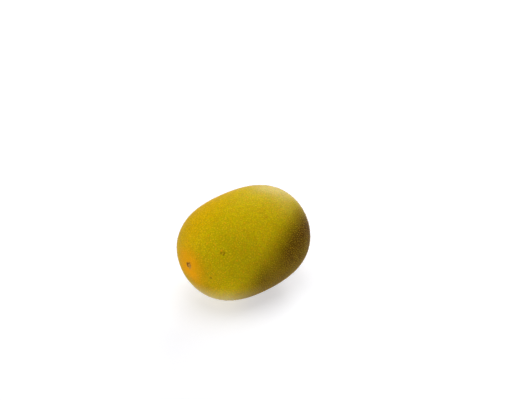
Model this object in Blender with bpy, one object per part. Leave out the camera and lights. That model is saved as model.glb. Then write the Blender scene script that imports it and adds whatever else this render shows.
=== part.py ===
"""A golden kiwi fruit lying on its side, as picked. Metres, +Z up.

The long axis is X. The small blossom scar is at -X. The corky disc at +X is where the stalk came
away. The origin is under the middle of the fruit's box, on the small flat spot that it rests on.
"""

import math
import random

import bmesh
import bpy
from mathutils import Matrix, Vector

# Size of the whole fruit, without what stands out of its ends
FRUIT_LENGTH = 0.0686
FRUIT_WIDTH = 0.0520
FRUIT_HEIGHT = 0.0505

# Form of the whole fruit: an oval with full shoulders, a little wider towards the stem end
SHOULDER_FULLNESS = 0.57
STEM_END_FULLNESS = 0.013
REST_SPOT_DEPTH = 0.0003

# Faint lumps: some round the girth, and some that swap sides between the two ends
GIRTH_LUMPS = 3
GIRTH_LUMP_HEIGHT = 0.00022
GIRTH_LUMP_TURN = 0.5
SIDE_LUMPS = 2
SIDE_LUMP_HEIGHT = 0.00018
SIDE_LUMP_TURN = 1.1
SIDE_LUMP_SWAP = 2.6

# Stem end: a corky disc with a raised rim, in a shallow basin. Edges are shares of its radius.
BASIN_RADIUS = 0.0105
BASIN_DEPTH = 0.0009
DISC_RADIUS = 0.0070
DISC_OVALNESS = 0.05
DISC_OVAL_TURN = 0.6
DISC_WAVES = 5
DISC_WAVE_DEPTH = 0.025
DISC_RISE = 0.0010
DISC_EDGE = (0.88, 1.06)
RIM_RISE = 0.0005
RIM_PLACE = 0.80
RIM_BREADTH = 0.13
RIM_UNEVENNESS = 0.35
HOLLOW_DEPTH = 0.0003
HOLLOW_EDGE = (0.15, 0.75)
FLAPS = 4
FLAP_RISE = 0.0002
FLAP_PLACE = 0.42
FLAP_BREADTH = 0.25

# The slot that the stalk's core left a little off the middle, and the cracks that run out from it
SLOT_LENGTH = 0.0030
SLOT_WIDTH = 0.0011
SLOT_DEPTH = 0.0013
SLOT_OFFSET = 0.0004
SLOT_TURN = 1.2
CRACK_COUNT = 6
CRACK_SEED = 9
CRACK_JITTER = 0.30
CRACK_DEPTH = 0.00045
CRACK_WIDTH = 0.0009
CRACK_PLACE = 0.48
CRACK_BREADTH = 0.22

# Blossom end: a small torn scar in a faint pucker, a little to +Y and -Z of the long axis
SCAR_SIDE = 0.0022
SCAR_RAISE = -0.0006
PUCKER_RADIUS = 0.0045
PUCKER_DEPTH = 0.0004
SCAR_RADIUS = 0.0015
SCAR_TEARS = 3
SCAR_TEAR_DEPTH = 0.18
SCAR_RIM_RISE = 0.0003
SCAR_RIM_PLACE = 0.85
SCAR_RIM_BREADTH = 0.35
SCAR_RIM_UNEVENNESS = 0.4
SCAR_PIT_DEPTH = 0.0005
SCAR_PIT_BREADTH = 0.5

# Dried sepals, most of them worn to stubs, bent outwards over the rim of the corky disc
SEPAL_COUNT = 5
SEPAL_SEED = 4
SEPAL_JITTER = 0.25
SEPAL_RING_RADIUS = 0.0060
SEPAL_THICKNESS = 0.0009
SEPAL_FLATTENING = 1.9
SEPAL_TAPER = 0.3
SEPAL_ROOT_DEPTH = 0.0012
SEPAL_SINK = 0.0003
SEPAL_LEAN = 0.65
STUB_LENGTHS = (0.0011, 0.0019)
STUB_CURLS = (0.4, 0.8)
LONG_SEPAL = 3
LONG_SEPAL_LENGTH = 0.0034
LONG_SEPAL_CURL = -0.9
SEPAL_STEPS = 7

# Mesh of the skin
AROUND = 76
RINGS = 58
CROWDING_AT_ENDS = 0.80
WELD_DISTANCE = 1e-6
SMOOTH_ANGLE = math.radians(40)


def clear_scene():
    for thing in list(bpy.data.objects):
        bpy.data.objects.remove(thing)


def new_collection(name):
    collection = bpy.data.collections.new(name)
    bpy.context.scene.collection.children.link(collection)
    return collection


def skin_material():
    material = bpy.data.materials.new("golden_skin")
    material.use_nodes = True
    shader = material.node_tree.nodes["Principled BSDF"]
    shader.inputs["Base Color"].default_value = (0.42, 0.33, 0.02, 1.0)
    shader.inputs["Roughness"].default_value = 0.5
    shader.inputs["Metallic"].default_value = 0.0
    return material


def step_down(value, start, end):
    """1 below start and 0 above end, with a smooth slope between them."""
    share = min(max((value - start) / (end - start), 0.0), 1.0)
    return 1.0 - share * share * (3.0 - 2.0 * share)


def hump(value, middle, width):
    return math.exp(-(((value - middle) / width) ** 2))


def angle_between(a, b):
    return abs((a - b + math.pi) % (2.0 * math.pi) - math.pi)


def turns_apart(count, jitter, seed):
    """Angles all the way round, evenly apart but for a seeded jitter."""
    draw = random.Random(seed)
    return [2.0 * math.pi * number / count + draw.uniform(-jitter, jitter) for number in range(count)]


CRACK_ANGLES = turns_apart(CRACK_COUNT, CRACK_JITTER, CRACK_SEED)


def slot_depth(distance, angle):
    along = distance * math.cos(angle - SLOT_TURN)
    across = distance * math.sin(angle - SLOT_TURN) - SLOT_OFFSET
    return SLOT_DEPTH * hump(along, 0.0, SLOT_LENGTH / 2) * hump(across, 0.0, SLOT_WIDTH / 2)


def crack_depth(distance, share, angle):
    depth = 0.0
    for crack in CRACK_ANGLES:
        sideways = distance * angle_between(angle, crack)
        depth += CRACK_DEPTH * hump(sideways, 0.0, CRACK_WIDTH / 2)
    return depth * hump(share, CRACK_PLACE, CRACK_BREADTH)


def disc_height(distance, angle):
    """How far the corky disc stands out of the basin, at a distance from the axis."""
    wave = DISC_WAVE_DEPTH * math.cos(DISC_WAVES * angle)
    oval = DISC_OVALNESS * math.cos(2 * angle + DISC_OVAL_TURN)
    share = distance / (DISC_RADIUS * (1.0 + oval + wave))
    rim = RIM_RISE * (1.0 + RIM_UNEVENNESS * math.cos(3 * angle + 1.0))
    height = DISC_RISE * step_down(share, *DISC_EDGE)
    height += rim * hump(share, RIM_PLACE, RIM_BREADTH)
    height -= HOLLOW_DEPTH * step_down(share, *HOLLOW_EDGE)
    height += FLAP_RISE * math.cos(FLAPS * angle) * hump(share, FLAP_PLACE, FLAP_BREADTH)
    return height - crack_depth(distance, share, angle) - slot_depth(distance, angle)


def stem_end_height(distance, angle):
    return disc_height(distance, angle) - BASIN_DEPTH * hump(distance, 0.0, BASIN_RADIUS)


def blossom_end_height(y, z):
    """How far the small scar stands out of the blossom end. Its torn rim is uneven."""
    distance = math.hypot(y - SCAR_SIDE, z - SCAR_RAISE)
    angle = math.atan2(z - SCAR_RAISE, y - SCAR_SIDE)
    share = distance / (SCAR_RADIUS * (1.0 + SCAR_TEAR_DEPTH * math.cos(SCAR_TEARS * angle)))
    rim = SCAR_RIM_RISE * (1.0 + SCAR_RIM_UNEVENNESS * math.cos(2 * angle))
    height = rim * hump(share, SCAR_RIM_PLACE, SCAR_RIM_BREADTH)
    height -= SCAR_PIT_DEPTH * hump(share, 0.0, SCAR_PIT_BREADTH)
    return height - PUCKER_DEPTH * hump(distance, 0.0, PUCKER_RADIUS)


def lumps(along, angle):
    """The share by which the faint lumps widen the fruit."""
    girth = GIRTH_LUMP_HEIGHT * math.cos(GIRTH_LUMPS * angle + GIRTH_LUMP_TURN + along)
    side = SIDE_LUMP_HEIGHT * math.cos(SIDE_LUMPS * angle + SIDE_LUMP_TURN)
    return (girth + side * math.sin(SIDE_LUMP_SWAP * along)) / (FRUIT_WIDTH / 2)


def skin_point(polar, angle):
    """A point of the skin, from its polar angle off the stem end and its angle round the axis."""
    along = math.cos(polar)
    across = math.sin(polar) * math.sqrt(1.0 + SHOULDER_FULLNESS * along * along)
    across *= (1.0 + STEM_END_FULLNESS * along) * (1.0 + lumps(along, angle))
    x = along * FRUIT_LENGTH / 2
    y = across * math.cos(angle) * FRUIT_WIDTH / 2
    z = across * math.sin(angle) * FRUIT_HEIGHT / 2
    if along > 0.0:
        x += stem_end_height(math.hypot(y, z), angle)
    else:
        x -= blossom_end_height(y, z)
    return Vector((x, y, z))


def angles_of(unit_point):
    """The polar angle, with rings crowded towards both ends, and the angle round the axis."""
    polar = math.acos(min(max(unit_point.z, -1.0), 1.0))
    polar -= CROWDING_AT_ENDS * math.sin(2.0 * polar) / 2.0
    return polar, math.atan2(unit_point.y, unit_point.x)


def cut_rest_spot(bm):
    """Flattens the underside where the fruit rests, as its own weight does."""
    level = min(vertex.co.z for vertex in bm.verts) + REST_SPOT_DEPTH
    cut = bmesh.ops.bisect_plane(
        bm,
        geom=bm.verts[:] + bm.edges[:] + bm.faces[:],
        dist=WELD_DISTANCE,
        plane_co=(0.0, 0.0, level),
        plane_no=(0.0, 0.0, -1.0),
        clear_outer=True,
    )
    rim = [item for item in cut["geom_cut"] if isinstance(item, bmesh.types.BMEdge)]
    bmesh.ops.edgeloop_fill(bm, edges=rim)
    bmesh.ops.recalc_face_normals(bm, faces=bm.faces[:])


def grow_fruit(collection):
    bm = bmesh.new()
    bmesh.ops.create_uvsphere(bm, u_segments=AROUND, v_segments=RINGS, radius=1.0)
    for vertex in bm.verts:
        vertex.co = skin_point(*angles_of(vertex.co))
    cut_rest_spot(bm)
    mesh = bpy.data.meshes.new("kiwi_fruit")
    bm.to_mesh(mesh)
    bm.free()
    fruit = bpy.data.objects.new("kiwi_fruit", mesh)
    fruit.data.materials.append(skin_material())
    collection.objects.link(fruit)
    return fruit


def sepal_curve(name, length, curl):
    """A dried sepal along +Z, sunk by its root, which leans to +X and curls as it tapers."""
    curve = bpy.data.curves.new(name, "CURVE")
    curve.dimensions = "3D"
    curve.bevel_depth = SEPAL_THICKNESS / 2
    curve.bevel_resolution = 1
    curve.use_fill_caps = True
    line = curve.splines.new("POLY")
    line.points.add(SEPAL_STEPS - 1)
    position = Vector((0.0, 0.0, -SEPAL_ROOT_DEPTH))
    stride = (length + SEPAL_ROOT_DEPTH) / (SEPAL_STEPS - 1)
    for step, point in enumerate(line.points):
        share = step / (SEPAL_STEPS - 1)
        point.co = (*position, 1.0)
        point.radius = 1.0 - SEPAL_TAPER * share * share
        lean = SEPAL_LEAN + curl * share * share
        position = position + Vector((math.sin(lean), 0.0, math.cos(lean))) * stride
    return curve


def mesh_from_curve(curve, name):
    """The curve's tube as a closed mesh, with its caps joined to its sides."""
    holder = bpy.data.objects.new(name, curve)
    bpy.context.scene.collection.objects.link(holder)
    evaluated = holder.evaluated_get(bpy.context.evaluated_depsgraph_get())
    mesh = bpy.data.meshes.new_from_object(evaluated)
    bpy.data.objects.remove(holder)
    bm = bmesh.new()
    bm.from_mesh(mesh)
    bmesh.ops.remove_doubles(bm, verts=bm.verts, dist=WELD_DISTANCE)
    bmesh.ops.recalc_face_normals(bm, faces=bm.faces[:])
    bm.to_mesh(mesh)
    bm.free()
    return mesh


def sepal_place(angle):
    """Turns a sepal that stands along +Z to stand along the fruit, at its place on the rim."""
    foot = FRUIT_LENGTH / 2 + stem_end_height(SEPAL_RING_RADIUS, angle) - SEPAL_SINK
    flatten = Matrix.Diagonal((1.0, SEPAL_FLATTENING, 1.0, 1.0))
    stand = Matrix(((0, 0, 1, 0), (1, 0, 0, 0), (0, 1, 0, 0), (0, 0, 0, 1)))
    outwards = Matrix.Translation((foot, SEPAL_RING_RADIUS, 0.0))
    return Matrix.Rotation(angle, 4, "X") @ outwards @ stand @ flatten


def grow_sepals(collection):
    """Sepals stand round the corky disc, and one of them is long and hooked."""
    draw = random.Random(SEPAL_SEED)
    for number, angle in enumerate(turns_apart(SEPAL_COUNT, SEPAL_JITTER, SEPAL_SEED)):
        length = draw.uniform(*STUB_LENGTHS)
        curl = draw.uniform(*STUB_CURLS)
        if number == LONG_SEPAL:
            length = LONG_SEPAL_LENGTH
            curl = LONG_SEPAL_CURL
        name = f"sepal_{number + 1}"
        mesh = mesh_from_curve(sepal_curve(name, length, curl), name)
        mesh.transform(sepal_place(angle))
        collection.objects.link(bpy.data.objects.new(name, mesh))


def join_repeats(thing, repeats):
    """Joins every object of a collection to the thing with one union, and then removes them."""
    union = thing.modifiers.new("join", "BOOLEAN")
    union.operation = "UNION"
    union.operand_type = "COLLECTION"
    union.collection = repeats
    union.solver = "EXACT"
    evaluated = thing.evaluated_get(bpy.context.evaluated_depsgraph_get())
    joined = bpy.data.meshes.new_from_object(evaluated)
    thing.modifiers.clear()
    thing.data = joined
    for piece in list(repeats.objects):
        bpy.data.objects.remove(piece)
    bpy.data.collections.remove(repeats)


def stand_on_origin(thing):
    """Puts the origin under the middle of the fruit's box, on the flat spot."""
    points = [vertex.co for vertex in thing.data.vertices]
    low = Vector(tuple(min(point[axis] for point in points) for axis in range(3)))
    high = Vector(tuple(max(point[axis] for point in points) for axis in range(3)))
    middle = (low + high) / 2
    thing.data.transform(Matrix.Translation((-middle.x, -middle.y, -low.z)))


def main():
    clear_scene()
    fruit = grow_fruit(new_collection("golden_kiwi_fruit"))
    sepals = new_collection("sepals")
    grow_sepals(sepals)
    join_repeats(fruit, sepals)
    stand_on_origin(fruit)
    fruit.data.shade_smooth()
    fruit.data.set_sharp_from_angle(angle=SMOOTH_ANGLE)


main()
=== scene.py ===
"""The looks of a golden kiwi fruit lying on its side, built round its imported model. Metres, +Z up.

The fruit's long axis is X. The blossom scar is at -X, and the corky disc at +X is where the stalk
came away. Angles round the long axis start at +Y and turn towards +Z. A name that ends in EDGE, END
or LEVELS holds where a share starts to rise from 0 and where it is full, and a third number there
is what it rises to. One that ends in SHARES holds how much there is where a pattern is 0 and 1.
"""

import math
import random

import bmesh
import bpy
from mathutils import Matrix, Vector, noise
from mathutils.bvhtree import BVHTree


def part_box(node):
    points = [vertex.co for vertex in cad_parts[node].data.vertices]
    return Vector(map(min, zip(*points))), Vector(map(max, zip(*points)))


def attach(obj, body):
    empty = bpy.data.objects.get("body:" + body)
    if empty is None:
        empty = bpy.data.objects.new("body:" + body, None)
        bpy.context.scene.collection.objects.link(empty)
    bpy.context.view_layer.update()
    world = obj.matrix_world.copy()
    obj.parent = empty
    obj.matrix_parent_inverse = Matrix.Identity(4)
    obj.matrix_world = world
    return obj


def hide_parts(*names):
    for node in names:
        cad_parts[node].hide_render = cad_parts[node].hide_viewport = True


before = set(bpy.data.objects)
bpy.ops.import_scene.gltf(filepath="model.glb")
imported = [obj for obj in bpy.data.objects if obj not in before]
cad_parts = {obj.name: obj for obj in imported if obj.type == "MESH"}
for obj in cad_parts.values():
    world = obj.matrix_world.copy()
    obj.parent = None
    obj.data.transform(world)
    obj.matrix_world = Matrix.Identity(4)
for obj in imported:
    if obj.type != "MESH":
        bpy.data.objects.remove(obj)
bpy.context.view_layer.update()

# Size and form of the fruit, as in the solid
FRUIT_LENGTH = 0.0686
FRUIT_WIDTH = 0.0520
FRUIT_HEIGHT = 0.0505
SHOULDER_FULLNESS = 0.57
STEM_END_FULLNESS = 0.013
GIRTH_LUMPS = 3
GIRTH_LUMP_HEIGHT = 0.00022
GIRTH_LUMP_TURN = 0.5
SIDE_LUMPS = 2
SIDE_LUMP_HEIGHT = 0.00018
SIDE_LUMP_TURN = 1.1
SIDE_LUMP_SWAP = 2.6
REST_SPOT_DEPTH = 0.0003
BASIN_RADIUS = 0.0105
BASIN_DEPTH = 0.0009
PUCKER_RADIUS = 0.0045
PUCKER_DEPTH = 0.0004

# Corky disc at the stem end
DISC_RADIUS = 0.0070
DISC_OVALNESS = 0.05
DISC_OVAL_TURN = 0.6
DISC_WAVES = 5
DISC_WAVE_DEPTH = 0.025
DISC_RISE = 0.0010
DISC_EDGE = (1.06, 0.88)
RIM_RISE = 0.0006
RIM_PLACE = 0.86
RIM_BREADTH = 0.11
RIM_WAVES = 3
RIM_TURN = 1.0
RIM_UNEVENNESS = 0.35
HOLLOW_DEPTH = 0.0003
HOLLOW_EDGE = (0.75, 0.15)
SLOT_LENGTH = 0.0030
SLOT_WIDTH = 0.0011
SLOT_DEPTH = 0.0013
SLOT_OFFSET = 0.0004
SLOT_TURN = 1.2

# Dried sepals round the corky disc
SEPAL_COUNT = 5
SEPAL_SEED = 4
SEPAL_JITTER = 0.25
SEPAL_RING_RADIUS = 0.0060
SEPAL_ROOT_DEPTH = 0.0012
SEPAL_SINK = 0.0003
SEPAL_LEAN = 0.65
STUB_LENGTHS = (0.0011, 0.0019)
STUB_CURLS = (0.4, 0.8)
LONG_SEPAL = 3
LONG_SEPAL_LENGTH = 0.0034
LONG_SEPAL_CURL = -0.9

# Blossom scar, and how far to +Y and +Z of the long axis it is
SCAR_RADIUS = 0.0015
SCAR_PLACE = (0.0022, -0.0006)

# Camera: where it stands from the fruit, and where the fruit's middle falls in the photograph
VIEW_AZIMUTH = math.radians(-44.5)
VIEW_ELEVATION = math.radians(28.0)
LENS_MM = 100.0
SENSOR_MM = 36.0
PHOTO_WIDTH = 512
PHOTO_HEIGHT = 400
PIXELS_PER_METRE = 2059.0
MIDDLE_PIXEL = (243.7, 241.8)


class Wire:
    """A socket in a node tree that Python's own signs work on, so that a sum reads as a sum."""

    def __init__(self, tree, socket):
        self.tree = tree
        self.socket = socket

    def maths(self, operation, *others):
        values = dict(enumerate((self, *others)))
        return self.tree.node("ShaderNodeMath", {"operation": operation}, values)

    def __add__(self, other):
        return self.maths("ADD", other)

    __radd__ = __add__

    def __mul__(self, other):
        return self.maths("MULTIPLY", other)

    __rmul__ = __mul__

    def __sub__(self, other):
        return self.maths("SUBTRACT", other)

    def __rsub__(self, other):
        return self.maths("MULTIPLY_ADD", -1.0, other)

    def __truediv__(self, other):
        return self.maths("DIVIDE", other)

    def sine(self):
        return self.maths("SINE")

    def cosine(self):
        return self.maths("COSINE")

    def root(self):
        return self.maths("SQRT")

    def between(self, low, high):
        """low where this is 0 and high where it is 1, in proportion."""
        return self * (high - low) + low

    def hump(self, middle, width):
        """1 at the middle, falling off to both sides."""
        share = (self - middle) / width
        return (share * share * -1.0).maths("EXPONENT")

    def rise(self, start, end, full=1.0):
        """0 at start and full at end, with a smooth slope between them. start may be the larger."""
        settings = {"interpolation_type": "SMOOTHSTEP"}
        sockets = {"Value": self, "From Min": start, "From Max": end, "To Max": full}
        return self.tree.node("ShaderNodeMapRange", settings, sockets)


class Tree:
    """A node tree whose nodes are all added by one method."""

    def __init__(self, node_tree):
        self.node_tree = node_tree

    def node(self, kind, settings=None, sockets=None, output=0):
        """Adds a node, with its settings first and then its sockets, and returns one output."""
        node = self.node_tree.nodes.new(kind)
        for name, value in (settings or {}).items():
            setattr(node, name, value)
        for key, value in (sockets or {}).items():
            if isinstance(value, Wire):
                self.node_tree.links.new(value.socket, node.inputs[key])
            else:
                node.inputs[key].default_value = value
        return Wire(self, node.outputs[output])

    def parts(self, vector):
        """The three numbers of a vector."""
        split = self.node("ShaderNodeSeparateXYZ", None, {"Vector": vector}).socket.node
        return [Wire(self, socket) for socket in split.outputs]

    def vector(self, x, y, z):
        return self.node("ShaderNodeCombineXYZ", None, {"X": x, "Y": y, "Z": z})

    def vectors(self, operation, *values, output=0):
        sockets = dict(enumerate(values))
        return self.node("ShaderNodeVectorMath", {"operation": operation}, sockets, output)

    def noise(self, place, scale, detail=2.0, roughness=0.5):
        sockets = {"Vector": place, "Scale": scale, "Detail": detail, "Roughness": roughness}
        return self.node("ShaderNodeTexNoise", None, sockets)

    def mix(self, share, first, second, blend="MIX"):
        """The first colour where share is 0, and the second, or their product, where it is 1."""
        settings = {"data_type": "RGBA", "blend_type": blend}
        return self.node("ShaderNodeMix", settings, {0: share, 6: first, 7: second}, 2)

    def layered(self, colour, *layers):
        """A colour with others laid over it in turn, each a share and a colour."""
        for share, tint in layers:
            colour = self.mix(share, colour, tint)
        return colour


def length_of(side, up):
    """How long a line is that goes so far to +Y and so far to +Z, as a wire."""
    return (side * side + up * up).root()


class Spot:
    """Where a point of the fruit is: from its middle, over the floor, and off its axis and scar."""

    def __init__(self, tree, position, middle):
        self.height = tree.parts(position)[2]
        self.place = tree.vectors("SUBTRACT", position, tuple(middle))
        self.x, self.side, self.up = tree.parts(self.place)
        self.distance = length_of(self.side, self.up)
        self.from_scar = length_of(self.side - SCAR_PLACE[0], self.up - SCAR_PLACE[1])


class Growth(Tree):
    """A Geometry Nodes tree with named inputs for its sizes."""

    def __init__(self, name, sizes):
        super().__init__(bpy.data.node_groups.new(name, "GeometryNodeTree"))
        sockets = self.node_tree.interface
        sockets.new_socket("Geometry", in_out="INPUT", socket_type="NodeSocketGeometry")
        sockets.new_socket("Geometry", in_out="OUTPUT", socket_type="NodeSocketGeometry")
        for size, value in sizes.items():
            kind = "NodeSocketInt" if isinstance(value, int) else "NodeSocketFloat"
            sockets.new_socket(size, in_out="INPUT", socket_type=kind)
        self.sizes = sizes
        self.inlet = self.node_tree.nodes.new("NodeGroupInput")

    def size(self, name):
        return Wire(self, self.inlet.outputs[name])

    def ground(self):
        """The mesh that the tree is run on."""
        return self.size("Geometry")

    def position(self):
        return self.node("GeometryNodeInputPosition")

    def random(self, low, high, seed):
        sockets = {2: low, 3: high, "Seed": seed}
        return self.node("FunctionNodeRandomValue", {"data_type": "FLOAT"}, sockets, 1)

    def random_vector(self, reach, seed):
        sockets = {0: (-reach,) * 3, 1: (reach,) * 3, "Seed": seed}
        return self.node("FunctionNodeRandomValue", {"data_type": "FLOAT_VECTOR"}, sockets, 0)

    def close(self, geometry, material):
        """Ends the tree: what it grew becomes one real, smooth mesh of one material."""
        real = self.node("GeometryNodeRealizeInstances", None, {"Geometry": geometry})
        smooth = self.node("GeometryNodeSetShadeSmooth", None, {"Geometry": real})
        sockets = {"Geometry": smooth, "Material": material}
        done = self.node("GeometryNodeSetMaterial", None, sockets)
        outlet = self.node_tree.nodes.new("NodeGroupOutput")
        self.node_tree.links.new(done.socket, outlet.inputs["Geometry"])

    def grow(self, name, host):
        """Runs the tree on a copy of the host mesh, and keeps its result as a plain mesh."""
        thing = add_object(name, host.copy())
        modifier = thing.modifiers.new("grow", "NODES")
        modifier.node_group = self.node_tree
        for item in self.node_tree.interface.items_tree:
            if item.in_out == "INPUT" and item.name in self.sizes:
                modifier[item.identifier] = self.sizes[item.name]
        return with_modifiers_applied(thing)


def add_object(name, data):
    thing = bpy.data.objects.new(name, data)
    bpy.context.scene.collection.objects.link(thing)
    return thing


def with_modifiers_applied(thing):
    """The object, with what its modifiers make kept as a plain mesh."""
    evaluated = thing.evaluated_get(bpy.context.evaluated_depsgraph_get())
    mesh = bpy.data.meshes.new_from_object(evaluated)
    thing.modifiers.clear()
    thing.data = mesh
    return thing


def hump(value, middle, width):
    """1 at the middle, falling off to both sides."""
    return math.exp(-(((value - middle) / width) ** 2))


def rise(value, start, end):
    """0 at start and 1 at end, with a smooth slope between them. start may be the larger."""
    share = min(max((value - start) / (end - start), 0.0), 1.0)
    return share * share * (3.0 - 2.0 * share)


def between(share, low, high):
    """low where the share is 0 and high where it is 1, in proportion."""
    return low + (high - low) * share


def turns_apart(count, jitter, seed):
    """Angles all the way round, evenly apart but for a seeded jitter."""
    draw = random.Random(seed)
    return [2.0 * math.pi * step / count + draw.uniform(-jitter, jitter) for step in range(count)]


def angle_between(a, b):
    return abs((a - b + math.pi) % (2.0 * math.pi) - math.pi)


# The fruit's skin

SKIN_RINGS = 300
SKIN_AROUND = 320
SKIN_CROWDING = 0.45
PEEL_SCALE = 420.0
PEEL_RELIEF = 0.00007
SWELL_SCALE = 70.0
SWELL_RELIEF = 0.00022
NOISE_MEAN = 0.5
DISC_BED_DEPTH = 0.0022
DISC_BED_EDGE = (DISC_RADIUS, DISC_RADIUS * 0.8)
SCAR_BED_DEPTH = 0.0009
SCAR_BED_EDGE = (SCAR_RADIUS * 1.3, SCAR_RADIUS * 0.8)


def fruit_sizes():
    return {
        "Length": FRUIT_LENGTH,
        "Width": FRUIT_WIDTH,
        "Height": FRUIT_HEIGHT,
        "Shoulder fullness": SHOULDER_FULLNESS,
        "Stem end fullness": STEM_END_FULLNESS,
        "Girth lump height": GIRTH_LUMP_HEIGHT,
        "Side lump height": SIDE_LUMP_HEIGHT,
        "Basin radius": BASIN_RADIUS,
        "Basin depth": BASIN_DEPTH,
        "Pucker radius": PUCKER_RADIUS,
        "Pucker depth": PUCKER_DEPTH,
        "Peel relief": PEEL_RELIEF,
        "Swell relief": SWELL_RELIEF,
        "Rest spot depth": REST_SPOT_DEPTH,
        "Rings": SKIN_RINGS,
        "Around": SKIN_AROUND,
    }


def end_relief(growth, along, y, z):
    """How far the ends are set in: the basin round the disc at one, the pucker at the other."""
    basin = length_of(y, z).hump(0.0, growth.size("Basin radius")) * growth.size("Basin depth")
    from_scar = length_of(y - SCAR_PLACE[0], z - SCAR_PLACE[1])
    pucker = from_scar.hump(0.0, growth.size("Pucker radius")) * growth.size("Pucker depth")
    at_stem = along.maths("GREATER_THAN", 0.0)
    return basin * at_stem - pucker * (1.0 - at_stem)


def fruit_point(growth, ball_place):
    """Where a point of a ball goes on the oval, which has blunt shoulders and faint lumps."""
    side, up, pole = growth.parts(ball_place)
    even = pole.maths("MINIMUM", 1.0).maths("MAXIMUM", -1.0).maths("ARCCOSINE")
    polar = even - (even * 2.0).sine() * (SKIN_CROWDING / 2.0)
    angle = up.maths("ARCTAN2", side)
    along = polar.cosine()
    girth = (angle * float(GIRTH_LUMPS) + along + GIRTH_LUMP_TURN).cosine()
    sides = (angle * float(SIDE_LUMPS) + SIDE_LUMP_TURN).cosine() * (along * SIDE_LUMP_SWAP).sine()
    lumps = girth * growth.size("Girth lump height") + sides * growth.size("Side lump height")
    across = polar.sine() * (along * along * growth.size("Shoulder fullness") + 1.0).root()
    across = across * (along * growth.size("Stem end fullness") + 1.0)
    across = across * (lumps / (growth.size("Width") * 0.5) + 1.0)
    y = across * angle.cosine() * growth.size("Width") * 0.5
    z = across * angle.sine() * growth.size("Height") * 0.5
    x = along * growth.size("Length") * 0.5 - end_relief(growth, along, y, z)
    return growth.vector(x, y, z)


def fruit_form():
    """The tree that shapes the skin: a ball drawn out to the fruit's form, with its flat spot."""
    growth = Growth("fruit_form", fruit_sizes())
    rings = {"Segments": growth.size("Around"), "Rings": growth.size("Rings"), "Radius": 1.0}
    ball = growth.node("GeometryNodeMeshUVSphere", None, rings)
    position = growth.position()
    oval = growth.node("GeometryNodeSetPosition", None, {
        "Geometry": ball,
        "Position": fruit_point(growth, position),
    })
    peel = (growth.noise(position, PEEL_SCALE) - NOISE_MEAN) * growth.size("Peel relief")
    swell = growth.noise(position, SWELL_SCALE, detail=1.0) - NOISE_MEAN
    relief = peel + swell * growth.size("Swell relief")
    normal = growth.node("GeometryNodeInputNormal")
    bumpy = growth.node("GeometryNodeSetPosition", None, {
        "Geometry": oval,
        "Offset": growth.vectors("MULTIPLY", normal, growth.vector(relief, relief, relief)),
    })
    x, y, height = growth.parts(position)
    lowest = growth.node("GeometryNodeAttributeStatistic", None, {
        "Geometry": bumpy,
        "Attribute": height,
    }, "Min")
    rest_level = lowest + growth.size("Rest spot depth")
    rested = growth.node("GeometryNodeSetPosition", None, {
        "Geometry": bumpy,
        "Position": growth.vector(x, y, height.maths("MAXIMUM", rest_level)),
    })
    growth.close(rested, None)
    return growth


def lay_on_solid(mesh):
    """Moves the mesh to where the solid lies: same blossom end, same middle and same floor."""
    low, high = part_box("kiwi_fruit")
    points = [vertex.co for vertex in mesh.vertices]
    lowest = [min(point[axis] for point in points) for axis in range(3)]
    highest = [max(point[axis] for point in points) for axis in range(3)]
    move = Vector((
        low.x + FRUIT_LENGTH / 2,
        (low.y + high.y - lowest[1] - highest[1]) / 2,
        low.z - lowest[2],
    ))
    mesh.transform(Matrix.Translation(move))
    return move


def make_skin():
    """The skin, still without its material, and the point in the middle of the fruit."""
    skin = fruit_form().grow("skin", bpy.data.meshes.new("seed"))
    middle = lay_on_solid(skin.data)
    return skin, middle


def sink_under_ends(skin, middle):
    """Sinks the skin under the corky disc and the scar, so that it never shows in their hollows."""
    for vertex in skin.data.vertices:
        x, y, z = vertex.co - middle
        if x > 0.0:
            vertex.co.x -= DISC_BED_DEPTH * rise(math.hypot(y, z), *DISC_BED_EDGE)
        else:
            from_scar = math.hypot(y - SCAR_PLACE[0], z - SCAR_PLACE[1])
            vertex.co.x += SCAR_BED_DEPTH * rise(from_scar, *SCAR_BED_EDGE)


# Raised dots, down and bristles, which stand on the skin

DOT_SPACING = 0.00098
DOT_RADIUS = 0.00023
DOT_RISE = 0.34
DOT_SWELL_AT_STEM = 0.3
DOT_DENSITY = 2.6e6
DOT_SIZES = (0.60, 1.30)
DOT_SEED = 11
HAIR_SIZES = (0.6, 1.3)
DOWN_DENSITY = 4.4e6
DOWN_LENGTH = 0.00038
DOWN_THICKNESS = 0.000022
DOWN_LEAN = (0.5, 0.0, 0.0)
DOWN_WILDNESS = 0.85
DOWN_SEED = 23
BRISTLE_DENSITY = 6.4e6
BRISTLE_LENGTH = 0.00085
BRISTLE_THICKNESS = 0.000085
BRISTLE_BEND = 0.25
BRISTLE_LEAN = 2.6
BRISTLE_WILDNESS = 0.7
BRISTLE_SEED = 31
CLEAR_OF_DISC = (DISC_RADIUS * 1.30, DISC_RADIUS * 1.14)
NEAR_DISC = (DISC_RADIUS * 2.5, DISC_RADIUS * 1.2)
SMOOTH_ROUND_SCAR = (0.0062, 0.0022)
CLEAR_OF_FLOOR = (0.00065, 0.00130)


def open_skin(spot):
    """1 on skin that is clear of the corky disc and of the spot that rests, less round the scar."""
    at_stem = spot.x.maths("GREATER_THAN", 0.0)
    on_disc = spot.distance.rise(*CLEAR_OF_DISC) * at_stem
    on_scar = spot.from_scar.rise(*SMOOTH_ROUND_SCAR) * (1.0 - at_stem)
    return (1.0 - on_disc) * (1.0 - on_scar) * spot.height.rise(*CLEAR_OF_FLOOR)


def near_stem(spot):
    return spot.distance.rise(*NEAR_DISC) * spot.x.maths("GREATER_THAN", 0.0)


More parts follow.
